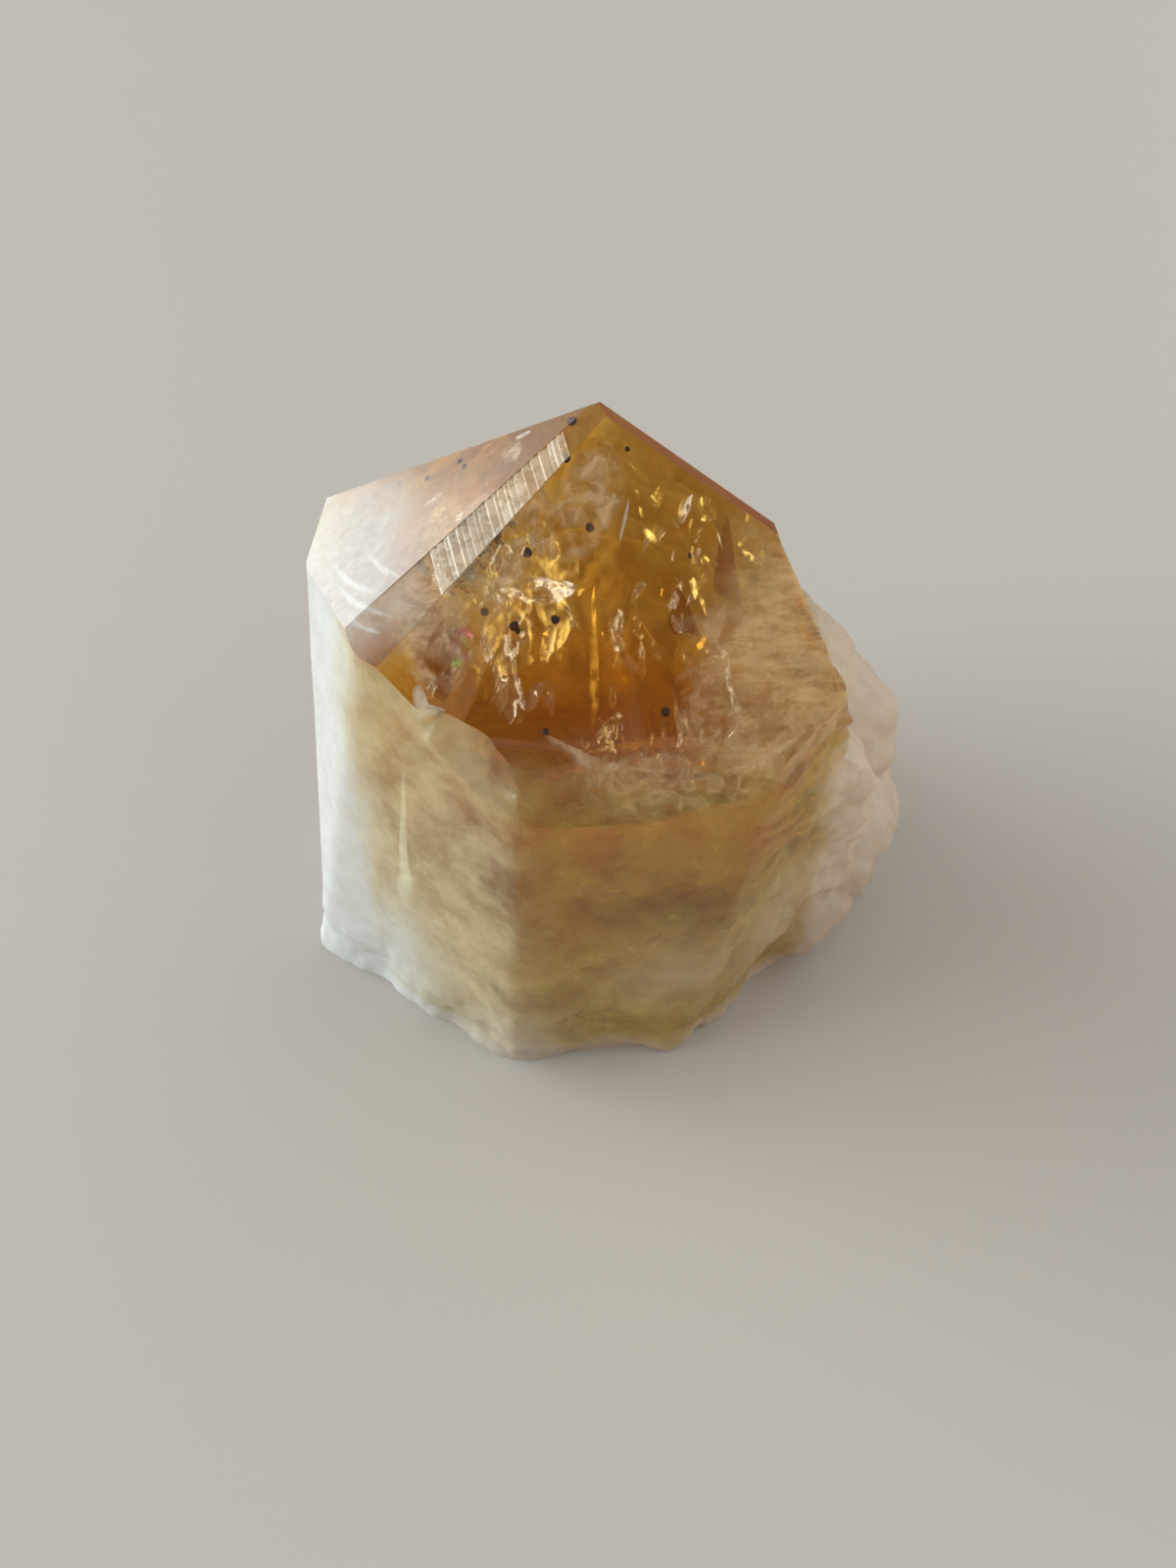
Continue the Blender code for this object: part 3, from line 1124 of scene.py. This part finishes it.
class CITRINE_OT_clouds(bpy.types.Operator):
    """Make the clouds of milk under the sides and over the foot"""

    bl_idname = "citrine.clouds"
    bl_label = "Clouds of milk"

    def execute(self, context):
        settings = context.scene.citrine_crystal
        for number, (under, deeper, left_rim, right_rim) in enumerate(CLOUDS):
            solid = bmesh.new()
            bmesh.ops.create_cube(solid, size=2.0)
            bmesh.ops.subdivide_edges(solid, edges=solid.edges[:], cuts=CLOUD_CUTS,
                                      use_grid_fill=True)
            for corner in solid.verts:
                direction = even_direction(corner.co)
                down = ramp(-direction.z, 0.35, 0.85)
                place = CORE + direction * CLOUD_BALL
                billow = noise.fractal(place * 0.16, 1.0, 2.0, 4) * (0.7 + 3.5 * down)
                depth = max(under + deeper * down + billow, under * CLOUD_LEAST)
                reach = rough_reach(direction)
                foot = (CORE.z - under) / max(-direction.z, 0.01)
                corner.co = (CORE + direction * (min(reach, foot) - depth)) * MM
            doomed = [corner for corner in solid.verts if corner.co.z > CLOUD_TOP * MM]
            bmesh.ops.delete(solid, geom=doomed, context="VERTS")
            material = cloud_finish(settings, left_rim, right_rim)
            piece = piece_from(solid, f"milk_cloud_{number + 1}", material)
            piece.data.shade_smooth()
        return {"FINISHED"}


class CITRINE_OT_flaws(bpy.types.Operator):
    """Make the open cracks, the pale veils and the white flakes inside the crystal"""

    bl_idname = "citrine.flaws"
    bl_label = "Cracks and veils"

    def execute(self, context):
        sight = Sight(context)
        chance = random.Random(11)
        cracks = new_sheets()
        add_outlined(cracks, GAPS, sight, GAP, chance)
        add_glints(cracks, GLINTS, sight, GAP, chance)
        leaves = new_sheets()
        add_outlined(leaves, LEAVES, sight, 0.0, chance)
        add_glints(leaves, GOLD_GLINTS, sight, 0.0, chance)
        # Sheets of painted shade, for cracks that mirror the dark of the crystal.
        painted_darks = new_sheets()
        add_outlined(painted_darks, PAINTED_DARK_SHEETS, sight, 0.0, chance)
        veils = new_sheets()
        add_outlined(veils, VEILS, sight, 0.0, chance)
        flakes = new_sheets()
        add_outlined(flakes, FLAKES, sight, 0.0, chance)
        for name, solid, material in (("open_cracks", cracks, gap_finish()),
                                      ("golden_cracks", leaves, leaf_finish()),
                                      ("painted_dark_reflections", painted_darks, painted_dark_finish()),
                                      ("pale_veils", veils, veil_finish()),
                                      ("white_flakes", flakes, flake_finish())):
            piece = piece_from(solid, name, material)
            piece.data.shade_smooth()
            piece.data.set_sharp_from_angle(angle=math.radians(SHARP_SHEET))
        return {"FINISHED"}


class CITRINE_OT_specks(bpy.types.Operator):
    """Make the small dark specks under the surface"""

    bl_idname = "citrine.specks"
    bl_label = "Dark specks"

    def execute(self, context):
        sight = Sight(context)
        chance = random.Random(5)
        solid = bmesh.new()
        for column, row, depth, radius in SPECKS:
            place = sight.inside(column, row, depth)
            if place is None:
                raise RuntimeError(f"no crystal at column {column}, row {row}")
            made = bmesh.ops.create_icosphere(solid, subdivisions=3,
                                              radius=radius * SPECK_SHARE * MM)
            shift = Vector([chance.uniform(0, 50) for _ in range(3)])
            for corner in made["verts"]:
                lump = 1 + SPECK_LUMPS * noise.noise(corner.co / (radius * MM) * 1.2 + shift)
                corner.co = place + corner.co * lump
        piece = piece_from(solid, "dark_specks", speck_finish())
        piece.data.shade_smooth()
        return {"FINISHED"}


def studio_world(settings):
    """Even light from all round, and a soft-edged window at the back left."""
    world = bpy.data.worlds.new("studio")
    world.use_nodes = True
    sky = Nodes(world.node_tree)
    direction = sky.add("ShaderNodeTexCoord", output="Generated")
    azimuth, elevation = WINDOW
    ahead = normal_of(azimuth, 90 - elevation)
    aside = normal_of(azimuth - 90, 90)
    rise = aside.cross(ahead)
    depth = sky.vector("DOT_PRODUCT", direction, ahead, "Value")
    right = sky.vector("DOT_PRODUCT", direction, aside, "Value") / depth
    up = sky.vector("DOT_PRODUCT", direction, rise, "Value") / depth
    glow = sky.step(depth, 0.1, 0.3)
    for measure, edges in ((right, WINDOW_RIGHT), (right, WINDOW_LEFT), (up, WINDOW_TOP),
                           (up, WINDOW_SILL)):
        glow = glow * sky.step(measure, *edges)
    glow = glow * (0.55 + sky.step(right, *WINDOW_DIMMER) * 0.45)
    colour = sky.blend(glow, (1.0, 0.965, 0.92, 1.0), (0.96, 0.99, 0.97, 1.0))
    behind = sky.vector("DOT_PRODUCT", direction, normal_of(SHADE[0], 90 - SHADE[1]), "Value")
    fill = settings.fill_strength * (1.0 - sky.step(behind, *SHADE_EDGES) * 0.8)
    bounce = sky.vector("DOT_PRODUCT", direction, normal_of(BOUNCE[0], 90 - BOUNCE[1]), "Value")
    fill = fill + sky.step(bounce, *BOUNCE_EDGES) * settings.bounce_strength
    strength = glow * settings.window_strength + fill
    light = sky.add("ShaderNodeBackground", None, {"Color": colour, "Strength": strength})
    sky.add("ShaderNodeOutputWorld", None, {"Surface": light})
    return world


class CITRINE_OT_stage(bpy.types.Operator):
    """Make the floor, the light and the camera"""

    bl_idname = "citrine.stage"
    bl_label = "Stage"

    def execute(self, context):
        settings = context.scene.citrine_stage
        look = Finish("floor")
        surface = look.add("ShaderNodeBsdfPrincipled", None, {
            "Base Color": (*settings.floor_colour, 1.0), "Roughness": 0.6})
        material = look.finish(surface)
        mesh = bpy.data.meshes.new("floor")
        ground = bmesh.new()
        bmesh.ops.create_grid(ground, x_segments=1, y_segments=1, size=FLOOR_REACH)
        ground.to_mesh(mesh)
        ground.free()
        mesh.materials.append(material)
        floor = bpy.data.objects.new("floor", mesh)
        floor.location.z = -FLOOR_DROP
        context.scene.collection.objects.link(floor)

        context.scene.world = studio_world(settings)
        context.scene.view_settings.view_transform = "Standard"

        data = bpy.data.cameras.new("camera")
        data.lens = LENS
        data.sensor_width = SENSOR
        data.clip_start = NEAREST
        camera = bpy.data.objects.new("camera", data)
        camera.location = settings.camera_place
        camera.rotation_euler = (math.pi / 2 - settings.camera_pitch, 0.0, 0.0)
        context.scene.collection.objects.link(camera)
        context.scene.camera = camera
        return {"FINISHED"}


class CITRINE_PT_panel(bpy.types.Panel):
    """Lists the pieces and the stage in the sidebar"""

    bl_idname = "CITRINE_PT_panel"
    bl_label = "Citrine crystal point"
    bl_space_type = "VIEW_3D"
    bl_region_type = "UI"
    bl_category = "Citrine"

    def draw(self, context):
        for operator in OPERATORS:
            self.layout.operator(operator.bl_idname)


OPERATORS = (CITRINE_OT_stage, CITRINE_OT_crystal, CITRINE_OT_clouds, CITRINE_OT_flaws,
             CITRINE_OT_specks)
SETTINGS = {"citrine_crystal": CitrineCrystalSettings, "citrine_stage": CitrineStageSettings}


def register():
    for group in SETTINGS.values():
        bpy.utils.register_class(group)
    for name, group in SETTINGS.items():
        setattr(bpy.types.Scene, name, bpy.props.PointerProperty(type=group))
    for kind in (*OPERATORS, CITRINE_PT_panel):
        bpy.utils.register_class(kind)


def unregister():
    for kind in (CITRINE_PT_panel, *reversed(OPERATORS)):
        bpy.utils.unregister_class(kind)
    for name, group in SETTINGS.items():
        delattr(bpy.types.Scene, name)
        bpy.utils.unregister_class(group)


def main():
    register()
    bpy.ops.citrine.stage()
    bpy.ops.citrine.crystal()
    bpy.ops.citrine.clouds()
    bpy.ops.citrine.flaws()
    bpy.ops.citrine.specks()


if __name__ == "__main__":
    main()
